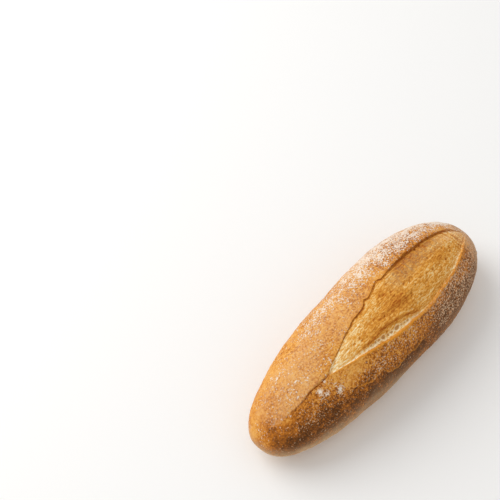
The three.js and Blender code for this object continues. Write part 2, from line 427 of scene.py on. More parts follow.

# Patches of the crumb that browned more or less; the long patch at run 34 beside the flap's edge is painted
# shade of the flap's lip
TOASTED_PATCHES = (
    (12.5, 18.5, 8, 8, 0.45), (47, 16, 12, 8, 0.12), (60, 0, 14, 8, -0.14), (79, 6, 7, 14, -0.14),
    (40, 36, 12, 6, -0.08), (-1, 13, 10, 6, 0.18), (34, 0, 20, 7, 0.1), (57, 32, 12, 6, -0.24),
    (29, 12, 7, 6, -0.20), (16, 0, 6, 5, 0.14), (70, 23, 5, 6, 0.18), (-20, 21, 8, 5, 0.1),
)

# Toasting past the flap's edge and on it: past the edge the crumb is paler near the slim end and darker with
# painted shade of the flap's lip on the broad half, and on the edge a painted shade of the crack under the
# flap
TOAST_AND_SHADE_PAST_LIP = ((-27, 9, 13.5, -1, 13, 6, -0.12), (21.6, 64.8, 9, -1, 13, 6, 0.26))
# Painted shade in the crack under the flap's edge, nearer the slim end and on the broad half
NEAR_LIP_SHADE = 0.4
FAR_LIP_SHADE = 0.25

# Painted shadow just past the crest of the fold, on its trough side, and toasting of the trough
FOLD_SHADOW = 0.4
FOLD_SHADOW_PLACE = 0.6
FOLD_SHADOW_SPREAD = 1.6
TROUGH_TOAST = 0.44
TROUGH_SIDE = (0.1, 0.7)

# Pale inner face of the ridge, pale crumb with a painted highlight where the face turns to the light, and how
# broken it is
PALE_LIT_EDGE = (
    (-90, 1), (-14, 1), (-11, 0.3), (2, 0.3), (5, 1), (12, 1), (16, 0.35), (36, 0.1), (90, 0.1),
)
PALE_EDGE_RAGS = ((1, 2.4),)
PALE_EDGE_BREAKS = (-0.5, 0.3)
PALE_EDGE_LEAST = 0.4
RIDGE_PALENESS_AND_HIGHLIGHT = 0.3

# Pale froth below that face, pale crumb with the same painted highlight: its width in degrees, and how uneven
# it is
FROTH_WIDTH = (
    (-90, 1), (-30, 1.2), (-24, 3.8), (-12, 4.5), (-7, 1.4), (3, 1), (8, 2.2), (13, 2), (17, 1),
    (90, 1),
)
FROTH_PALENESS_AND_HIGHLIGHT = 0.4
FROTH_SWING = 0.7
FROTH_SIZE = (1.5, 1.1)

# Clouds in the finish: size in mm, detail, roughness, shift and stretch
BLOTCH = (6.5, 3, 0.55)
MOTTLE = (2.4, 3, 0.65)
GRAIN = (1, 2, 0.6, (11, 3, 5))
VEIL = (0.9, 2.5, 0.6, (4, 9, 2))
DRIFTS = (5.5, 2, 0.5, (8, 1, 6))
FIBRES = (0.7, 2, 0.6, (2, 7, 1), (0.32, 1, 1))

# Swings of the crust's browning, and what limits them
CRUST_STOPS = (0, 0.3, 0.52, 0.76, 1)
MOTTLE_SWING = 0.75
GRAIN_SWING = 1.35
BLOTCH_SWING = 1.0
SPECKLE_BY_BAKE = (0.30, 0.50, 0.72, 1.2)
SPECKLE_BY_RUN = (-82, -58, 0.55, 1)
BLOTCHES_BY_BAKE = (0.35, 0.8, 0.3, 0.55)
RIM_COVER = 0.85
RAW_SWING = 1.6
VEIL_SWING = 4.5

# Flour in the finish: drifts, flecks and single specks, and where it is thick or tanned
DRIFT_SWING = 0.36
DRIFT_BY_SIDE = (-6, -18, 1, 0.45)
FLECK_WEIGHT = 0.22
FLECK_EDGE = (0.625, 0.695)
SPECK_CELL = 2.4
SPECK_WEIGHT = 0.22
SPECK_LEAST = 0.03
SPECK_EDGE = (0.26, 0.14)
THICK_COVER = (0.9, 1.2, 0, 0.15)
THICK_WHITE = (0.9, 1.1)
TAN_BY_BAKE = (0.42, 0.75, 0.55, 0.85)
TAN_BY_SIDE = (0, -12)

# Swings of the crumb's toasting, its bubbles, and where its painted shade beside the flap turns to bloom
CRUMB_STOPS = (0, 0.16, 0.5, 1)
FIBRE_EDGE = (0.36, 0.64)
FIBRE_SWING = 0.38
CRUMB_GRAIN_SWING = 0.5
BUBBLE_INSIDE = (0.95, 0.7)
WALL_INSIDE = (0.75, 0.95)
WALL_OUTSIDE = (1.4, 1.05)
WALL_PALENESS = 0.12
HOLLOW_COVER = 0.85
LIP_SHADE_END = (55, 70)

# Sheen, and heights of the finest relief
FLOUR_ROUGHNESS = (0, 0.8, 0.62, 0.92)
CRUMB_MATTNESS = 0.82
SPECULAR = 0.12
BUMP_DEPTH = 0.5 * MM
MOTTLE_BUMP = 0.6
GRAIN_BUMP = 0.8
FLOUR_BUMP = 0.25
FIBRE_BUMP = 0.7
CRUMB_GRAIN_BUMP = 0.5

# The stage in metres, and the width of the camera's frame in mm
FLOOR_REACH = 3.0
FLOOR_ROUGHNESS = 0.9
SENSOR_WIDTH = 36.0
KEY_LIGHT_SIZE = 1.1
KEY_LIGHT_PLACE = (-0.75, 0.35, 0.75)
KEY_LIGHT_TARGET = (0, 0, 0.02)


def linear(red, green, blue):
    """Colour given as it looks on screen, from 0 to 255, as the light values that shaders use."""
    def channel(value):
        share = value / 255.0
        return share / 12.92 if share <= 0.04045 else ((share + 0.055) / 1.055) ** 2.4
    return channel(red), channel(green), channel(blue)


def colour_prop(name, description, red, green, blue):
    """A colour that the user can change."""
    return bpy.props.FloatVectorProperty(
        name=name, description=description, subtype="COLOR", size=3, min=0.0, max=1.0,
        default=linear(red, green, blue),
    )


def number_prop(name, description, default, **kind):
    """A number that the user can change."""
    return bpy.props.FloatProperty(name=name, description=description, default=default, **kind)


def length_prop(name, description, default):
    """A length in metres that the user can change."""
    return number_prop(name, description, default, unit="LENGTH", precision=5)


def angle_prop(name, description, degrees):
    """An angle that the user can change."""
    return number_prop(name, description, math.radians(degrees), unit="ROTATION")


def share_prop(name, description, default):
    """A share from 0 to 1 that the user can change."""
    return number_prop(name, description, default, min=0.0, max=1.0, subtype="FACTOR")


class BaguetteShape(bpy.types.PropertyGroup):
    """Sizes of the loaf and of its cut."""

    length: length_prop("Length", "Length of the loaf", LOAF_HIGH.x - LOAF_LOW.x)
    width: length_prop("Width", "Width of the loaf at its belly", LOAF_HIGH.y - LOAF_LOW.y)
    height: length_prop("Height", "Height of the loaf before its base was pressed flat", 49.0 * MM)
    cut_turn: angle_prop("Cut turn", "Turns the cut round the loaf, towards -Y", 0.0)
    cut_gape: share_prop("Cut gape", "How far the cut opens", 1.0)
    flap_rise: length_prop("Flap rise", "Height that the flap's edge lifts", 0.85 * MM)
    ridge_rise: length_prop("Ridge rise", "Height of the thin ridge on the other edge", 0.6 * MM)
    ledge_hollow: length_prop("Ledge hollow", "Depth of the hollow under the torn ledge", 1.0 * MM)
    blister_height: length_prop("Blister height", "Height of the blisters in the crust", 0.28 * MM)
    pore_depth: length_prop("Pore depth", "Depth of the pores in the torn crumb", 0.55 * MM)


class BaguetteFinish(bpy.types.PropertyGroup):
    """Colours of the crust, the crumb and the flour."""

    dough: colour_prop("Dough", "Dough that stayed pale near the base", 226, 190, 146)
    pale: colour_prop("Pale", "Crust that hardly browned", 240, 188, 108)
    gold: colour_prop("Gold", "Lightly browned crust", 228, 161, 74)
    amber: colour_prop("Amber", "Browned crust", 198, 118, 34)
    brown: colour_prop("Brown", "Well browned crust", 146, 84, 28)
    dark: colour_prop("Dark", "Darkest crust", 94, 54, 18)
    # Also paints the highlight along the ledge's edge
    edge: colour_prop("Edge", "Thin edges of the crust along the tears", 230, 150, 44)
    bloom: colour_prop("Bloom", "Dusty bloom on the crust", 228, 185, 142)
    # Painted shade that the flap's lip casts on the crumb beside it
    lip_shade: colour_prop("Lip shade", "Grey haze on the crumb beside the flap", 172, 136, 96)
    flour: colour_prop("Flour", "Flour baked on to the crust", 242, 226, 208)
    milk: colour_prop("Milk", "Palest crumb", 255, 238, 202)
    cream: colour_prop("Cream", "Pale crumb", 248, 214, 150)
    straw: colour_prop("Straw", "Golden crumb", 229, 160, 64)
    toast: colour_prop("Toast", "Toasted crumb", 172, 92, 22)
    hollow: colour_prop("Hollow", "Inside of the open bubbles", 214, 168, 108)
    flour_cover: share_prop("Flour cover", "How much of the dusted crust the flour hides", 0.85)


class BaguetteStage(bpy.types.PropertyGroup):
    """The camera, the lights and the floor."""

    heading: angle_prop("Heading", "Angle between the loaf and the picture's width", 48.97)
    elevation: angle_prop("Elevation", "Height of the camera above the floor, as an angle", 55.0)
    distance: length_prop("Distance", "From the camera to the floor that it looks at", 0.7866)
    right: length_prop("Right", "How far the loaf lies to the right of where the camera looks", 0.0641)
    nearer: length_prop("Nearer", "How far the loaf lies nearer than where the camera looks", 0.0691)
    lens: number_prop("Lens", "Focal length in mm on a 36 mm frame", 95.4)
    floor: colour_prop("Floor", "Colour of the floor", 250, 249, 247)
    key_power: number_prop("Key light", "Power of the large soft light", 7.6, unit="POWER")
    fill: number_prop("Fill light", "Strength of the light from all round", 0.65)


def smooth(value, low, high):
    """Soft step from 0 at low to 1 at high."""
    share = np.clip((value - low) / (high - low), 0.0, 1.0)
    return share * share * (3.0 - 2.0 * share)


def between(value, low, high, fade):
    """Rises from 0 to 1 and falls back, with a soft fade inside each end."""
    return smooth(value, low, low + fade) * (1.0 - smooth(value, high - fade, high))


def blend(first, second, share):
    """From the first value to the second."""
    return first + (second - first) * share


def hump(away, spread):
    """Falls from 1 on both sides of a middle."""
    return np.exp(-(away / spread) ** 2)


def fading(past, reach):
    """Falls from 1 past an edge."""
    return np.exp(-np.maximum(past, 0.0) / reach)


def around(place, outline):
    """Value of an outline given as places and values."""
    places, values = zip(*outline)
    return np.interp(place, places, values)


def line_at(run, line):
    """Lean of a line at places along the loaf, with its corners eased."""
    return sum(around(run + shift, line) for shift in (-LINE_EASE, 0.0, LINE_EASE)) / 3.0


def field_share(run, lean, field):
    """How much of a field with soft edges lies on each point."""
    run_from, run_to, run_fade, lean_from, lean_to, lean_fade, share = field
    return share * between(run, run_from, run_to, run_fade) * between(lean, lean_from, lean_to, lean_fade)


def patch_sum(run, lean, patches):
    """How much of all the round patches lies on each point."""
    return sum(
        share * hump(run - along, spread) * hump(lean - middle, turn)
        for along, middle, spread, turn, share in patches
    )


def ripple(places, size=1.0, octaves=1):
    """Soft noise of a size at each place, about from -1 to 1."""
    return np.array([
        noise.fractal(Vector(place), OCTAVE_FADE, OCTAVE_SHRINK, octaves) for place in places / size
    ])


def sheet(run, side, size, layer):
    """Places on one layer of the noise, drawn out to a size along the loaf and across it."""
    return np.stack((run / size[0], side / size[1], np.full_like(run, layer)), axis=-1)


def cells(places, size=1.0):
    """Distance from each place to its nearest cell's middle, and a fixed draw from 0 to 1 for the cell."""
    found = np.empty((len(places), 2))
    for index, place in enumerate(places / size):
        distances, middles = noise.voronoi(Vector(place))
        found[index] = distances[0], 0.5 + 0.5 * noise.cell(middles[0] * DRAW_SPREAD)
    return found.T


def rags(run, waves, seed):
    """Ragged wander of an edge along the loaf, in degrees, from (size, length in mm) waves."""
    level = np.full_like(run, seed)
    return sum(size * ripple(sheet(run, level, (length, 1.0), layer=0.0)) for size, length in waves)


class Loaf:
    """The loaf's form in mm: its smooth skin, and how the cut opened it."""

    def __init__(self, shape):
        for name in LENGTHS:
            setattr(self, name, getattr(shape, name) / MM)
        self.cut_turn = math.degrees(shape.cut_turn)
        self.cut_gape = shape.cut_gape

    def skin(self, station, lean):
        """Points of the smooth loaf before it was cut."""
        slim = station < WIDEST_STATION
        swell = np.where(slim, SLIM_HALF_SWELL, BROAD_HALF_SWELL)
        reach = np.where(slim, 1.0 + WIDEST_STATION, 1.0 - WIDEST_STATION)
        away = np.minimum(np.abs(station - WIDEST_STATION) / reach, 1.0)
        half_width = self.width / 2 * (1.0 - away ** swell) ** (1.0 / END_BLUNTNESS)
        side_power = 1.0 / (END_BLUNTNESS * SIDE_VIEW_FULLNESS)
        height = self.height * (1.0 - away ** (swell * SIDE_VIEW_FULLNESS)) ** side_power
        belly = BELLY_SHARE * height
        across = np.sin(np.radians(lean))
        up = np.cos(np.radians(lean))
        y = -half_width * np.sign(across) * np.abs(across) ** FLANK_POWER
        above = (height - belly) * np.maximum(up, 0.0) ** CROWN_POWER
        below = belly * np.maximum(-up, 0.0) ** BASE_POWER
        z = belly + above - below
        lift = TIP_LIFT * (1.0 - np.sqrt(1.0 - away ** TIP_LIFT_POWER)) * (1.0 - z / self.height)
        return np.stack((station * self.length / 2, y, z + lift), axis=-1)

    def outward(self, station, lean):
        """Directions straight out of the smooth loaf, or zero at its tips."""
        ahead = self.skin(np.minimum(station + STATION_STEP, 1.0), lean)
        behind = self.skin(np.maximum(station - STATION_STEP, -1.0), lean)
        turned = self.skin(station, lean + LEAN_STEP) - self.skin(station, lean - LEAN_STEP)
        out = np.cross(turned, ahead - behind)
        size = np.linalg.norm(out, axis=-1, keepdims=True)
        return np.divide(out, size, out=np.zeros_like(out), where=size > TINY)

    def swellings(self, station, lean):
        """Slow unevenness of the crust."""
        height = np.zeros_like(station)
        for size, along, turns, phase in SWELLINGS:
            height += size * np.sin(along * station + turns * np.radians(lean) + phase)
        return height * (1.0 - np.abs(station) ** SWELLING_FADE_POWER)

    def open_cut(self, station):
        """The cut at each station: the leans of its edges, and how deep it and its crease are."""
        self.station = station
        self.run = station * HALF_RUN
        self.opened = smooth(station, *OPENING) * (1.0 - smooth(station, *CLOSING))
        self.deep = smooth(station, *DEEPENING) * (1.0 - smooth(station, *SHALLOWING))
        self.crease = between(station, *CREASE_STATIONS)
        self.crack = between(station, *CRACK_STATIONS)
        flap = line_at(self.run, FLAP_LINE) + rags(self.run, FLAP_RAGS, seed=3.7) * self.deep
        ridge = line_at(self.run, RIDGE_LINE) + rags(self.run, RIDGE_RAGS, seed=8.1) * self.deep
        middle = (flap + ridge) / 2.0
        least = np.where(station > WIDEST_STATION, END_HALF_GAPE, CREASE_HALF_GAPE)
        half = np.maximum((ridge - flap) / 2.0 * self.cut_gape, least)
        tip = np.maximum(smooth(-station, -TIP_STATIONS[0], 1.0), smooth(station, TIP_STATIONS[1], 1.0))
        half = blend(half, TIP_HALF_GAPE, tip)
        self.far_lip = smooth(station, *FAR_LIP)
        self.seam = half * SEAM_SHARE * (1.0 + FAR_SEAM_GROWTH * self.far_lip)
        self.flap = middle - half + self.cut_turn
        self.ridge = middle + half + self.cut_turn
        slope = RIDGE_SLOPE * (1.0 - FAR_SLOPE_LOSS * self.far_lip)
        self.foot = self.ridge - np.maximum(half * SEAM_SHARE, slope * self.deep)
        self.grown = around(self.run, FLAP_GROWN)
        self.ridge_breaks = 1.0 + rags(self.run, RIDGE_BREAKS, seed=1.9)
        self.ridge_share = self.deep * self.ridge_breaks
        self.fold = line_at(self.run, FOLD_LINE) + self.cut_turn
        self.trough = TROUGH_FLOOR * np.maximum(self.foot - self.fold, TROUGH_LEAST)
        self.ledge = line_at(self.run, LEDGE_LINE) + rags(self.run, LEDGE_RAGS, seed=5.5)
        self.ledge_share = between(station, *LEDGE_STATIONS)

    def crumb_height(self, lean, across):
        """Height of the crumb's main form; across is -1 at the ridge and 1 at the flap."""
        edge = np.where(across > 0.0, CRUMB_FLAP_DEPTH * self.grown, CRUMB_RIDGE_DEPTH)
        sunk = blend(CRUMB_SUNK, edge, np.minimum(np.abs(across), 1.0) ** CRUMB_EDGE_POWER)
        place, half_width, size = CRUMB_BULGE
        bulge = size * hump(across - place, half_width) * between(self.station, *CRUMB_BULGE_STATIONS)
        past_fold = lean - self.fold
        spread = np.where(past_fold < 0.0, *FOLD_SPREADS)
        crest = FOLD_RISE * hump(past_fold, spread) * between(self.station, *FOLD_STATIONS)
        trough = TROUGH_DEPTH * smooth(past_fold, 0.0, self.trough) * between(self.station, *TROUGH_STATIONS)
        groove = CREASE_DEPTH * self.crack * (1.0 - np.minimum(np.abs(across), 1.0))
        return self.deep * (bulge + crest - sunk - trough) - groove

    def flap_height(self, lean):
        """Height of the crust beside the flap's edge."""
        rise = self.flap_rise * np.maximum(self.grown * self.deep, CREASE_FLAP_SHARE * self.crease)
        return rise * fading(self.flap - lean, FLAP_REACH)

    def ridge_height(self, lean):
        """Height of the crust beside the ridge."""
        return self.ridge_rise * self.ridge_share * fading(lean - self.ridge, RIDGE_REACH)

    def above_ledge(self, lean):
        """Height of the crust above the torn ledge."""
        return LEDGE_RISE * self.ledge_share * fading(self.ledge - lean, LEDGE_RISE_REACH)

    def below_ledge(self, lean):
        """Depth of the hollow below the torn ledge."""
        return self.ledge_hollow * self.ledge_share * (1.0 - smooth(lean - self.ledge, 0.0, LEDGE_SPREAD))


def zone_shares(step):
    """For each step round the section, the zone it falls in and its share of the way through that zone."""
    starts = np.concatenate(((0,), np.cumsum(ZONE_STEPS)))
    zone = np.searchsorted(starts, step, side="right") - 1
    return zone, (step - starts[zone]) / np.array(ZONE_STEPS)[zone]


def along_profile(share, profile):
    """Values of a profile, whose rows start with the share of the way along it."""
    places, *columns = zip(*profile)
    return [np.interp(share, places, column) for column in columns]


def section_places(loaf, step):
    """Lean and height off the smooth loaf for each point, and its zone and share of the way through it."""
    zone, share = zone_shares(step)
    rising = share * (1.0 + CRUST_EASE - CRUST_EASE * share)
    falling = share * (1.0 - CRUST_EASE + CRUST_EASE * share)
    low_flank = blend(BASE_LEAN, loaf.ledge + LEDGE_SEAM, rising)
    high_flank = blend(loaf.ledge - LEDGE_SEAM, loaf.ridge, share)
    flap_side = blend(loaf.flap, -BASE_LEAN, falling)

    under, up = along_profile(share, LEDGE_PROFILE)
    ledge_lean = loaf.ledge + LEDGE_SEAM * (1.0 - 2.0 * share) - LEDGE_UNDERCUT * loaf.ledge_share * under
    ledge_height = blend(-loaf.below_ledge(loaf.ledge), loaf.above_ledge(loaf.ledge), up)

    ridge_edge = blend(loaf.ridge, loaf.foot, share)
    foot_height = loaf.crumb_height(loaf.foot, -np.ones_like(share))
    ridge_height = blend(loaf.ridge_height(loaf.ridge), foot_height, smooth(share, *RIDGE_FALL))
    crumb_lean = blend(loaf.foot, loaf.flap + loaf.seam, share)

    seam, under, up = along_profile(share, FLAP_PROFILE)
    undercut = FLAP_UNDERCUT * loaf.grown * loaf.deep * (1.0 - FAR_UNDERCUT_LOSS * loaf.far_lip)
    lip_lean = loaf.flap + loaf.seam * seam - undercut * under
    lip_foot = loaf.crumb_height(loaf.flap + loaf.seam, np.ones_like(share))
    lip_height = blend(lip_foot, loaf.flap_height(loaf.flap), up)

    turns = [zone == number for number in range(len(ZONE_STEPS))]
    leans = (low_flank, ledge_lean, high_flank, ridge_edge, crumb_lean, lip_lean, flap_side)
    heights = (
        -loaf.below_ledge(low_flank), ledge_height,
        loaf.above_ledge(high_flank) + loaf.ridge_height(high_flank),
        ridge_height, loaf.crumb_height(crumb_lean, 2.0 * share - 1.0),
        lip_height, loaf.flap_height(flap_side),
    )
    return np.select(turns, leans), np.select(turns, heights), zone, share


def crumb_places(loaf, lean, zone, share):
    """How far each point is crumb rather than crust."""
    up = along_profile(share, FLAP_PROFILE)[2]
    low, high = (blend(near, far, loaf.far_lip) for near, far in zip(NEAR_LIP_CRUMB, FAR_LIP_CRUMB))
    in_lip = 1.0 - smooth(up, low, high)
    fringe = fading(lean - loaf.ridge, FRINGE_REACH) * smooth(loaf.station, *FRINGE_STATIONS)
    in_ridge = np.maximum(smooth(share, *RIDGE_CRUMB), fringe)
    turns = [zone == number for number in (HIGH_FLANK, RIDGE, CRUMB, LIP)]
    return loaf.opened * np.select(turns, (fringe, in_ridge, np.ones_like(share), in_lip), 0.0)


def rim_share(loaf, zone, lean):
    """How far each point belongs to the golden edges of the ridge, the flap and the ledge, where the ledge's
    golden edge is a painted highlight.
    """
    clear, faded = RIM_EDGE
    width = around(loaf.run, RIM_WIDTH)
    ridge = 1.0 - smooth(np.abs(lean - loaf.ridge), clear * width, faded * width)
    ridge *= (zone <= RIDGE) * loaf.opened * np.clip(loaf.ridge_breaks, 0.0, 1.0)
    ridge *= 1.0 - smooth(loaf.station, *RIM_END)
    gaps = smooth(ripple(sheet(loaf.run, np.zeros_like(lean), RIM_GAP_SIZE, layer=2.0)), *RIM_GAPS)
    ridge *= 1.0 - RIM_GAP_SHARE * gaps * smooth(loaf.station, *RIM_GAP_STATIONS)
    flap = FLAP_RIM * fading(loaf.flap - lean, FLAP_RIM_REACH) * (zone >= LIP) * loaf.deep
    flap *= 1.0 - FAR_FLAP_RIM_LOSS * loaf.far_lip
    # Painted highlight along the ledge's lit edge
    ledge = fading(loaf.ledge - lean, LEDGE_HIGHLIGHT_REACH) * (zone == HIGH_FLANK) * loaf.ledge_share
    return np.max((ridge, flap, ledge), axis=0)


def crust_relief(loaf, points, lean):
    """Fine height of the crust: grain, soft dents and blisters, thickest on the browned flank."""
    run = points[:, 0]
    flank = smooth(lean, *FLANK_FROM) * (1.0 - smooth(lean, *FLANK_TO))
    grain = (CRUST_GRAIN + FLANK_GRAIN * flank) * ripple(points, size=1.7, octaves=3)
    dents = DENT_DEPTH * ripple(points, size=7.0, octaves=2)
    near, draw = cells(points, size=3.1)
    raised = np.clip(1.0 - (near / BLISTER_RADIUS) ** 2, 0.0, 1.0) * (draw > BLISTER_DRAW)
    blisters = loaf.blister_height * raised * blend(BLISTER_LEAST, 1.0, flank)
    wrinkle = hump(lean - around(run, BLOOM_EDGE), WRINKLE_SPREAD) * between(run, *WRINKLE_RUN)
    return grain + dents - WRINKLE_DEPTH * wrinkle + blisters


def bubble_field(run, side):
    """Distance from the nearest open bubble's middle, where 1 is its edge, its depth, and its pale rim with a
    painted highlight on the side towards the ridge.
    """
    field = np.full_like(run, NO_BUBBLE)
    hollow = np.zeros_like(run)
    pale = np.zeros_like(run)
    for along, lean, half_length, half_width, shut in BUBBLES:
        over = (side - lean * DEGREE) / half_width
        apart = np.hypot((run - along) / half_length, over)
        field = np.minimum(field, np.maximum(apart, shut))
        bowl = half_width * (1.0 - shut) * np.maximum(1.0 - apart ** 2, 0.0)
        hollow = np.maximum(hollow, bowl)
        # Painted highlight on the rim's side towards the ridge, which faces the light
        lit = blend(BUBBLE_RIM_LEAST, 1.0, smooth(over, *BUBBLE_HIGHLIGHT_TURN))
        rim = hump(apart - BUBBLE_RIM, BUBBLE_RIM_SPREAD) * lit
        pale = np.maximum(pale, rim * (1.0 - shut))
    return field, hollow, pale


def crumb_relief(loaf, points, lean):
    """Fine height of the torn crumb, painted shade in its pores less the paleness of its fan wrinkles and
    bubble rims, and the place in the bubbles.
    """
    run = points[:, 0]
    side = lean * DEGREE
    flakes = FLAKE_HEIGHT * (0.5 - np.abs(ripple(sheet(run, side, FLAKE_SIZE, layer=0.0), octaves=3)))
    lumps = LUMP_HEIGHT * ripple(sheet(run, side, LUMP_SIZE, layer=7.0), octaves=2)
    grain = CRUMB_GRAIN * ripple(points, size=1.3, octaves=2)
    wander = FAN_WANDER * ripple(points, size=6.0)
    fan = np.sin((run - FAN_SLANT * side) * FAN_WAVES + wander) * between(loaf.station, *FAN_STATIONS)
    fan *= FAN_SHARE + FAN_BREAKS * ripple(points, size=4.0)
    lumps += FAN_HEIGHT * fan
    porous = sum(
        hump(np.hypot(run - along, side - middle * DEGREE), spread)
        for along, middle, spread in POROUS_PATCHES
    )
    near, draw = cells(sheet(run, side, PORE_CELL, layer=0.4))
    picked = draw > PORE_DRAW - POROUS_DRAW_LOSS * np.minimum(porous, 1.0)
    pore = (1.0 - smooth(near, *PORE_EDGE)) * picked
    bubble, hollow, pale = bubble_field(run, side)
    calm = blend(CALM_LEAST, 1.0, smooth(bubble, *BUBBLE_CALM))
    height = (flakes + lumps + grain) * calm * around(run, CRUMB_ROUGHNESS)
    # Painted shade in the pores, less the paler fan wrinkles and bubble rims
    shade_and_paleness = pore - FAN_PALENESS * fan - BUBBLE_RIM_PALENESS_AND_HIGHLIGHT * pale
    return height - loaf.pore_depth * pore - hollow, shade_and_paleness, bubble


def lip_band(loaf, lean):
    """The bare golden band beside the flap's edge."""
    return around(loaf.run, LIP_BAND) * smooth(lean - loaf.flap, *LIP_BAND_EDGE)


def baking(loaf, points, lean):
    """Browning of the crust at each point, with painted shade below the ledge, a painted golden highlight
    beside the flap's edge, and painted bounce light at the end of the slim tip.
    """
    run, across, up = points.T
    slim_lean = lean - (loaf.flap + loaf.ridge) / 2.0 + SLIM_CREASE_LEAN
    slim_end = smooth(-loaf.station, *SLIM_END_STATIONS)
    bake = blend(around(lean, BAKE_ROUND), around(slim_lean, BAKE_ROUND_SLIM_END), slim_end)
    level = up + TIP_SIDE_SHARE * across
    for tip, outline in ((-loaf.station, BAKE_UP_SLIM_TIP), (loaf.station, BAKE_UP_BROAD_TIP)):
        bake = blend(bake, around(level, outline), smooth(tip, *TIP_BAKE_STATIONS))
    # Painted golden highlight beside the flap's edge
    bake -= LIP_BAND_HIGHLIGHT * lip_band(loaf, lean)
    # Painted bounce light on the end of the slim tip, with paler crust
    bake -= SLIM_TIP_PALENESS_AND_BOUNCE * smooth(-loaf.station, *SLIM_TIP_STATIONS) * smooth(across, *SLIM_TIP_SIDE)
    bake += sum(field_share(run, lean, field) for field in BAKED_FIELDS)
    bake += patch_sum(run, lean, BAKED_PATCHES)
    beside = smooth(lean - loaf.ridge, *BESIDE_RIDGE) * (1.0 - smooth(lean, *BELOW_RIDGE))
    beside *= 1.0 - smooth(loaf.station, *RIDGE_BROWNING_END)
    bake += beside * sum(share * smooth(loaf.station, start, end) for start, end, share in RIDGE_BROWNING)
    # Painted shade below the ledge's overhang
    below = lean - loaf.ledge
    under = smooth(below, *UNDER_LEDGE_FROM) * (1.0 - smooth(below, *UNDER_LEDGE_TO))
    bake += LEDGE_SHADE * loaf.ledge_share * under
    return np.clip(bake + BAKE_DRIFT * ripple(points, size=17.0, octaves=2), 0.0, 1.0)


def rawness(points, lean):
    """Share of pale dough in the crust at each point, with painted bounce light under the slim tip."""
    run = points[:, 0]
    dropped = lean - around(run, RAW_DROP) * smooth(lean, *RAW_DROP_LEANS)
    # Pale dough and painted bounce light under the slim tip
    tip = RAW_TIP_AND_BOUNCE * smooth(-run, *RAW_TIP_RUN) * (1.0 - smooth(points[:, 2], *RAW_TIP_HEIGHT))
    uneven = 1.0 + RAW_DRIFT * ripple(points, size=9.0, octaves=2)
    return np.clip(np.maximum(around(dropped, RAW_ROUND), tip) * uneven, 0.0, 1.0)


def blooming(loaf, points, lean):
    """Dusty bloom on the crust, and on the crumb the share of the painted shade beside the flap's edge and of
    the bloom at the broad tip, at each point.
    """
    run = points[:, 0]
    on_flap = smooth(lean - around(run, BLOOM_EDGE), 0.0, BLOOM_EASE)
    on_flap *= 1.0 - smooth(lean - loaf.flap, *BLOOM_INNER_EDGE)
    on_flap *= around(run, BLOOM_ALONG) * (1.0 - LIP_BAND_BLOOM_LOSS * lip_band(loaf, lean))
    fields = [field_share(run, lean, field) for field in BLOOM_FIELDS]
    on_tip = BLOOM_TIP * smooth(loaf.station, *BLOOM_TIP_STATIONS)
    combed = 1.0 + COMB_SWING * ripple(sheet(run, lean, COMB_SIZE, layer=4.0))
    # Painted shade of the flap's lip, combed, on the crumb past its edge
    shade_past_lip = combed * field_share(run, lean - loaf.flap, SHADE_PAST_LIP)
    return np.max((on_flap, *fields, on_tip, shade_past_lip), axis=0)


def dusting(loaf, points, lean):
    """Flour on the crust at each point."""
    dust = FLOUR_BASE * smooth(np.abs(lean), *FLOUR_BASE_LEANS)
    dust += sum(field_share(points[:, 0], lean, field) for field in FLOUR_FIELDS)
    dust *= 1.0 - LIP_BAND_FLOUR_LOSS * lip_band(loaf, lean)
    bare = blend(NEAR_LIP_BARE, FAR_LIP_BARE, loaf.far_lip)
    dust *= 1.0 - bare * loaf.deep * between(lean - loaf.flap, *LIP_BARE)
    dust -= RIDGE_BARE_SHARE * loaf.deep * between(lean - loaf.ridge, *RIDGE_BARE)
    for along, middle, spread in FLOUR_PATCHES:
        place = loaf.skin(np.array([along / HALF_RUN]), np.array([middle]))
        apart = np.linalg.norm(points - place, axis=-1)
        dust = np.maximum(dust, THICK_DUST - apart / spread)
    return np.clip(dust, *DUST_RANGE)


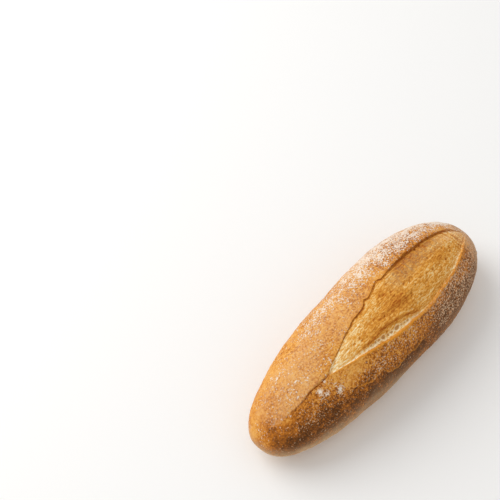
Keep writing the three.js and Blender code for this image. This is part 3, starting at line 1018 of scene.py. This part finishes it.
def toasting(loaf, points, lean, zone, shade_and_paleness):
    """Browning of the crumb at each point, with painted shade in its pores, past the fold and beside and
    under the flap's edge, and painted highlights on the ridge's inner face and the bubble rims.
    """
    run = points[:, 0]
    across = CRUMB_WIDTH * (lean - loaf.flap) / (loaf.ridge - loaf.flap)
    toast = TOAST_LEAST + OPEN_TOAST * smooth(loaf.station, *OPEN_TOAST_STATIONS) + FAR_TOAST * loaf.far_lip
    toast += PATCH_TOAST * ripple(sheet(run, lean, PATCH_SIZE, layer=2.0), octaves=3)
    toast += STREAK_TOAST * ripple(sheet(run, across, STREAK_SIZE, layer=5.0), octaves=3)
    toast += patch_sum(run, lean, TOASTED_PATCHES)
    past_fold = lean - loaf.fold
    # Painted shadow on the trough side of the fold's crest
    crest = hump(past_fold - FOLD_SHADOW_PLACE, FOLD_SHADOW_SPREAD)
    toast += FOLD_SHADOW * crest * between(loaf.station, *FOLD_STATIONS)
    start, end = TROUGH_SIDE
    in_trough = smooth(past_fold, start * loaf.trough, end * loaf.trough)
    toast = blend(toast, TROUGH_TOAST, in_trough * between(loaf.station, *TROUGH_STATIONS))
    # Paler crumb past the flap's edge near the slim end, and painted shade of the flap's lip on the broad
    # half
    toast += sum(field_share(run, lean - loaf.flap, field) for field in TOAST_AND_SHADE_PAST_LIP)
    # Pale crumb with a painted highlight on the ridge's inner face and the froth below it
    broken = smooth(rags(loaf.run, PALE_EDGE_RAGS, seed=6.3), *PALE_EDGE_BREAKS)
    pale_lit_edge = around(run, PALE_LIT_EDGE) * blend(PALE_EDGE_LEAST, 1.0, broken)
    froth = 1.0 + FROTH_SWING * ripple(sheet(run, across, FROTH_SIZE, layer=9.0), octaves=2)
    below_ridge = 1.0 - smooth(loaf.foot - lean, 0.0, around(run, FROTH_WIDTH))
    toast -= FROTH_PALENESS_AND_HIGHLIGHT * pale_lit_edge * froth * below_ridge
    # Painted shade in the crack under the flap's edge
    toast += (zone == LIP) * blend(NEAR_LIP_SHADE, FAR_LIP_SHADE, loaf.far_lip)
    toast -= (zone == RIDGE) * RIDGE_PALENESS_AND_HIGHLIGHT * pale_lit_edge
    return np.clip(toast + PORE_SHADE_AND_PALENESS * shade_and_paleness, *TOAST_RANGE)


def sphere_places(mesh):
    """Station and step round the section for each vertex of a unit sphere whose poles are on Z."""
    unit = np.empty(len(mesh.vertices) * 3)
    mesh.vertices.foreach_get("co", unit)
    unit = unit.reshape(-1, 3)
    ring = np.round(np.arccos(np.clip(-unit[:, 2], -1.0, 1.0)) / math.pi * STEPS_ALONG) / STEPS_ALONG
    station = blend(2.0 * ring - 1.0, -np.cos(math.pi * ring), TIP_CROWDING)
    turn = 0.5 - np.arctan2(unit[:, 1], unit[:, 0]) / (2.0 * math.pi)
    step = np.round(turn * STEPS_ROUND).astype(int) % STEPS_ROUND
    return station, step


def keep_values(mesh, **values):
    """Stores numbers for each vertex, for the material to read."""
    for name, numbers in values.items():
        attribute = mesh.attributes.new(name, "FLOAT", "POINT")
        attribute.data.foreach_set("value", np.asarray(numbers, dtype=np.float32))


def ball_mesh():
    """A unit sphere with the rings and lines that the loaf needs, unwrapped for baking."""
    build = bmesh.new()
    build.loops.layers.uv.new("OFBake")
    bmesh.ops.create_uvsphere(
        build, u_segments=STEPS_ROUND, v_segments=STEPS_ALONG, radius=1.0, calc_uvs=True,
    )
    mesh = bpy.data.meshes.new("loaf_crust")
    build.to_mesh(mesh)
    build.free()
    return mesh


def loaf_mesh(shape):
    """The whole loaf as one closed mesh, from a sphere whose rings and lines follow the cut."""
    mesh = ball_mesh()
    loaf = Loaf(shape)
    station, step = sphere_places(mesh)
    loaf.open_cut(station)
    lean, height, zone, share = section_places(loaf, step)
    crumb = crumb_places(loaf, lean, zone, share)
    skin = loaf.skin(station, lean)
    out = loaf.outward(station, lean)
    fine_crumb, shade_and_paleness, bubble = crumb_relief(loaf, skin, lean)
    fine = blend(crust_relief(loaf, skin, lean), fine_crumb, crumb)
    tip_fade = 1.0 - np.abs(station) ** RELIEF_FADE_POWER
    points = skin + out * (height + loaf.swellings(station, lean) + fine * tip_fade)[:, None]
    points[:, 2] = np.maximum(points[:, 2] - BASE_PRESS, 0.0)
    mesh.vertices.foreach_set("co", (points * MM).ravel())
    # The stored browning, toast, bloom and rim values also carry painted shade, painted highlights and
    # painted bounce light
    keep_values(
        mesh,
        crumb=crumb,
        rim=rim_share(loaf, zone, lean),
        bake=baking(loaf, skin, lean),
        raw=rawness(skin, lean),
        dust=dusting(loaf, skin, lean),
        bloom=blooming(loaf, skin, lean),
        toast=toasting(loaf, skin, lean, zone, shade_and_paleness),
        bubble=bubble,
    )
    mesh.shade_smooth()
    mesh.update()
    return mesh


class Signal:
    """A value that one of a material's nodes gives, to be put together with numbers and other values."""

    def __init__(self, recipe, socket):
        self.recipe = recipe
        self.socket = socket

    def sums(self, operation, other):
        """This value and another one in a sum."""
        return self.recipe.node("Math", 0, {0: self, 1: other}, operation=operation)

    def __add__(self, other):
        return self.sums("ADD", other)

    def __sub__(self, other):
        return self.sums("SUBTRACT", other)

    def __mul__(self, other):
        return self.sums("MULTIPLY", other)

    def __lt__(self, other):
        return self.sums("LESS_THAN", other)

    def clamped(self):
        """This sum, kept between 0 and 1."""
        self.socket.node.use_clamp = True
        return self

    def swing(self, size):
        """A cloud's departure from its middle, times a size."""
        return (self - 0.5) * size

    def span(self, low, high, to_low=0.0, to_high=1.0):
        """Soft step of the value between two limits."""
        inputs = {"Value": self, "From Min": low, "From Max": high, "To Min": to_low, "To Max": to_high}
        return self.recipe.node("MapRange", "Result", inputs, interpolation_type="SMOOTHSTEP")

    def ramp(self, places, colours):
        """Colours at places from 0 to 1."""
        made = self.recipe.node("ValToRGB", "Color", {"Fac": self})
        elements = made.socket.node.color_ramp.elements
        while len(elements) < len(places):
            elements.new(0.5)
        for element, place, colour in zip(elements, places, colours):
            element.position = place
            element.color = (*colour, 1.0)
        return made


class Recipe:
    """A material's nodes, added one by one."""

    def __init__(self, name):
        self.material = bpy.data.materials.new(name)
        self.material.use_nodes = True
        self.tree = self.material.node_tree
        self.shader = self.tree.nodes["Principled BSDF"]
        where = self.node("TexCoord", "Object", {})
        self.place = self.node("Mapping", "Vector", {"Vector": where, "Scale": (1.0 / MM,) * 3})

    def feed(self, socket, value):
        """Links a socket to a value, or sets its number or colour."""
        if isinstance(value, Signal):
            self.tree.links.new(value.socket, socket)
        elif isinstance(value, Color):
            socket.default_value = (*value, 1.0)
        else:
            socket.default_value = value

    def node(self, kind, output, inputs, **settings):
        """One output of a new node with its inputs and settings."""
        made = self.tree.nodes.new("ShaderNode" + kind)
        for name, setting in settings.items():
            setattr(made, name, setting)
        for socket, value in inputs.items():
            self.feed(made.inputs[socket], value)
        return Signal(self, made.outputs[output])

    def finish(self, name, value):
        """Feeds one of the shader's inputs."""
        self.feed(self.shader.inputs[name], value)

    def value(self, name):
        """A number stored on the mesh."""
        return self.node("Attribute", "Fac", {}, attribute_name=name)

    def along(self, axis):
        """Place along one axis in mm."""
        return self.node("SeparateXYZ", axis, {"Vector": self.place})

    def clouds(self, size, detail, roughness, offset=(0.0, 0.0, 0.0), stretch=(1.0, 1.0, 1.0)):
        """Noise with features of the given size in mm."""
        shift = self.node("Mapping", "Vector", {"Vector": self.place, "Location": offset, "Scale": stretch})
        inputs = {"Vector": shift, "Scale": 1.0 / size, "Detail": detail, "Roughness": roughness}
        return self.node("TexNoise", "Fac", inputs)

    def spots(self, size):
        """Cells of the given size in mm: distance to the nearest middle, and a colour drawn for each cell."""
        distance = self.node("TexVoronoi", "Distance", {"Vector": self.place, "Scale": 1.0 / size})
        return distance, Signal(self, distance.socket.node.outputs["Color"])

    def mix(self, share, first, second):
        """One colour over another, by the numbers of the node's colour sockets."""
        return self.node("Mix", 2, {"Factor": share, 6: first, 7: second}, data_type="RGBA")

    def mix_values(self, share, first, second):
        """One number over another."""
        return self.node("Mix", 0, {"Factor": share, "A": first, "B": second})


def crust_colour(recipe, finish, bake, blotch, mottle, grain):
    """Colour of the crust under its bloom and flour."""
    speckle = mottle.swing(MOTTLE_SWING) + grain.swing(GRAIN_SWING)
    speckle = speckle * bake.span(*SPECKLE_BY_BAKE) * recipe.along("X").span(*SPECKLE_BY_RUN)
    level = bake + blotch.swing(BLOTCH_SWING) * bake.span(*BLOTCHES_BY_BAKE) + speckle
    browns = (finish.pale, finish.gold, finish.amber, finish.brown, finish.dark)
    crust = level.ramp(CRUST_STOPS, browns)
    # Golden edges of the tears, with a painted highlight along the ledge
    crust = recipe.mix(recipe.value("rim") * RIM_COVER, crust, finish.edge)
    raw = recipe.value("raw") * (mottle.swing(RAW_SWING) + 1.0)
    return recipe.mix(raw.clamped(), crust, finish.dough)


def flour_share(recipe, finish, dust, veil):
    """How much of the crust flour hides, as flecks that settled in drifts and as single specks."""
    drifts = recipe.clouds(*DRIFTS).swing(DRIFT_SWING) * recipe.along("Y").span(*DRIFT_BY_SIDE)
    fleck = (veil + drifts + dust * FLECK_WEIGHT).span(*FLECK_EDGE)
    distance, draw = recipe.spots(SPECK_CELL)
    picked = draw < dust * SPECK_WEIGHT + SPECK_LEAST
    speck = distance.span(*SPECK_EDGE) * picked
    cover = dust.span(*THICK_COVER) + finish.flour_cover
    return fleck.sums("MAXIMUM", speck) * cover


def flour_colour(recipe, finish, bake, dust):
    """Colour of the flour, which is tanned where it lies thin on browned crust."""
    tanned = bake.span(*TAN_BY_BAKE) * recipe.along("Y").span(*TAN_BY_SIDE)
    powder = recipe.mix(tanned, finish.flour, finish.bloom)
    return recipe.mix(dust.span(*THICK_WHITE), powder, finish.flour)


def crumb_colour(recipe, finish, fibres, grain, bloom):
    """Colour of the torn crumb with its open bubbles, under the painted shade of the flap's lip, which turns
    to bloom colour at the broad tip.
    """
    bubble = recipe.value("bubble")
    inside = bubble.span(*BUBBLE_INSIDE)
    wall = bubble.span(*WALL_INSIDE) * bubble.span(*WALL_OUTSIDE)
    toast = recipe.value("toast") + fibres.span(*FIBRE_EDGE).swing(FIBRE_SWING)
    toast = toast + grain.swing(CRUMB_GRAIN_SWING) - wall * WALL_PALENESS
    golds = (finish.milk, finish.cream, finish.straw, finish.toast)
    crumb = toast.clamped().ramp(CRUMB_STOPS, golds)
    crumb = recipe.mix(inside * HOLLOW_COVER, crumb, finish.hollow)
    # Painted shade beside the flap's edge, turning to the bloom colour at the broad tip
    lip_shade = recipe.mix(recipe.along("X").span(*LIP_SHADE_END), finish.lip_shade, finish.bloom)
    return recipe.mix(bloom, crumb, lip_shade)


def bread_material(finish):
    """Crust and crumb in one finish, told apart by the values stored on the mesh."""
    recipe = Recipe("baked_bread")
    blotch, mottle, grain = (recipe.clouds(*cloud) for cloud in (BLOTCH, MOTTLE, GRAIN))
    bake = recipe.value("bake")
    crust = crust_colour(recipe, finish, bake, blotch, mottle, grain)
    veil = recipe.clouds(*VEIL)
    thin = veil.swing(VEIL_SWING) + 1.0
    bloom = (recipe.value("bloom") * thin).clamped()
    crust = recipe.mix(bloom, crust, finish.bloom)
    dust = recipe.value("dust")
    white = flour_share(recipe, finish, dust, veil)
    crust = recipe.mix(white, crust, flour_colour(recipe, finish, bake, dust))
    fibres = recipe.clouds(*FIBRES)
    crumb = crumb_colour(recipe, finish, fibres, grain, bloom)
    share = recipe.value("crumb")
    recipe.finish("Base Color", recipe.mix(share, crust, crumb))
    recipe.finish("Roughness", recipe.mix_values(share, white.span(*FLOUR_ROUGHNESS), CRUMB_MATTNESS))
    recipe.finish("Specular IOR Level", SPECULAR)
    on_crust = mottle.swing(MOTTLE_BUMP) + grain.swing(GRAIN_BUMP) + white * FLOUR_BUMP
    on_crumb = fibres.swing(FIBRE_BUMP) + grain.swing(CRUMB_GRAIN_BUMP)
    relief = {"Distance": BUMP_DEPTH, "Height": recipe.mix_values(share, on_crust, on_crumb)}
    recipe.finish("Normal", recipe.node("Bump", "Normal", relief))
    return recipe.material


def show(name, mesh, material):
    """A finished piece at the origin, with its material."""
    mesh.materials.append(material)
    piece = bpy.data.objects.new(name, mesh)
    bpy.context.scene.collection.objects.link(piece)
    return piece


class BAGUETTE_OT_loaf(bpy.types.Operator):
    """Model the loaf with its opened cut, browned crust and flour"""

    bl_idname = "baguette.loaf"
    bl_label = "Bake the loaf"

    def execute(self, context):
        scene = context.scene
        mesh = loaf_mesh(scene.baguette_shape)
        if not mesh.vertices:
            raise RuntimeError("the loaf came out empty")
        piece = show("crusty_loaf", mesh, bread_material(scene.baguette_finish))
        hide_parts("loaf")
        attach(piece, "root")
        return {"FINISHED"}


def plain_material(name, colour, roughness):
    """A plain matte finish for the stage."""
    material = bpy.data.materials.new(name)
    material.use_nodes = True
    shader = material.node_tree.nodes["Principled BSDF"]
    shader.inputs["Base Color"].default_value = (*colour, 1.0)
    shader.inputs["Roughness"].default_value = roughness
    return material


def floor_plane(colour):
    """A wide pale floor under the loaf."""
    build = bmesh.new()
    bmesh.ops.create_grid(build, x_segments=1, y_segments=1, size=FLOOR_REACH)
    mesh = bpy.data.meshes.new("floor")
    build.to_mesh(mesh)
    build.free()
    floor = show("floor", mesh, plain_material("pale_floor", colour, FLOOR_ROUGHNESS))


def looking(place, target):
    """Turn of a light or camera at a place that looks at a target, with Z upwards."""
    return (target - place).to_track_quat("-Z", "Y").to_euler()


def view_frame(stage):
    """From the picture's own frame, right, away and up, to the loaf's frame."""
    turn = Matrix.Rotation(-stage.heading, 4, "Z")
    return turn @ Matrix.Translation((-stage.right, stage.nearer, 0.0))


def add_camera(scene, stage):
    """The camera at the picture's viewing angle."""
    lens = bpy.data.cameras.new("camera")
    lens.lens = stage.lens
    lens.sensor_width = SENSOR_WIDTH
    camera = bpy.data.objects.new("camera", lens)
    scene.collection.objects.link(camera)
    to_loaf = view_frame(stage)
    level = -stage.distance * math.cos(stage.elevation)
    place = to_loaf @ Vector((0.0, level, stage.distance * math.sin(stage.elevation)))
    camera.location = place
    camera.rotation_euler = looking(place, to_loaf @ Vector((0.0, 0.0, 0.0)))
    scene.camera = camera


def add_key_light(scene, stage):
    """A large soft light from the left, a little behind the loaf."""
    lamp = bpy.data.lights.new("key_light", "AREA")
    lamp.shape = "DISK"
    lamp.size = KEY_LIGHT_SIZE
    lamp.energy = stage.key_power
    light = bpy.data.objects.new("key_light", lamp)
    scene.collection.objects.link(light)
    turn = Matrix.Rotation(-stage.heading, 4, "Z")
    light.location = turn @ Vector(KEY_LIGHT_PLACE)
    light.rotation_euler = looking(light.location, Vector(KEY_LIGHT_TARGET))


def add_fill_light(scene, stage):
    """Even light from all round."""
    world = bpy.data.worlds.new("studio")
    world.use_nodes = True
    background = world.node_tree.nodes["Background"]
    background.inputs["Color"].default_value = (1.0, 1.0, 1.0, 1.0)
    background.inputs["Strength"].default_value = stage.fill
    scene.world = world


class BAGUETTE_OT_stage(bpy.types.Operator):
    """Set the floor, the lights and the camera"""

    bl_idname = "baguette.stage"
    bl_label = "Set the stage"

    def execute(self, context):
        scene = context.scene
        stage = scene.baguette_stage
        floor_plane(stage.floor)
        add_camera(scene, stage)
        add_key_light(scene, stage)
        add_fill_light(scene, stage)
        scene.view_settings.view_transform = "Standard"
        return {"FINISHED"}


class BAGUETTE_PT_panel(bpy.types.Panel):
    """The baguette's pieces and sizes in the sidebar"""

    bl_idname = "BAGUETTE_PT_panel"
    bl_label = "Mini baguette"
    bl_space_type = "VIEW_3D"
    bl_region_type = "UI"
    bl_category = "Baguette"

    def draw(self, context):
        layout = self.layout
        for operator in OPERATORS:
            layout.operator(operator.bl_idname)
        for name, group in GROUPS.items():
            box = layout.box()
            for prop in group.__annotations__:
                box.prop(getattr(context.scene, name), prop)


GROUPS = {
    "baguette_shape": BaguetteShape,
    "baguette_finish": BaguetteFinish,
    "baguette_stage": BaguetteStage,
}
OPERATORS = (BAGUETTE_OT_loaf, BAGUETTE_OT_stage)
CLASSES = (*GROUPS.values(), *OPERATORS, BAGUETTE_PT_panel)


def register():
    """Adds the classes and the scene's settings."""
    for cls in CLASSES:
        bpy.utils.register_class(cls)
    for name, group in GROUPS.items():
        setattr(bpy.types.Scene, name, bpy.props.PointerProperty(type=group))


def unregister():
    """Takes the settings and the classes away again."""
    for name in GROUPS:
        delattr(bpy.types.Scene, name)
    for cls in reversed(CLASSES):
        bpy.utils.unregister_class(cls)


def main():
    """Builds the loaf and the stage."""
    register()
    bpy.ops.baguette.loaf()
    bpy.ops.baguette.stage()


if __name__ == "__main__":
    main()
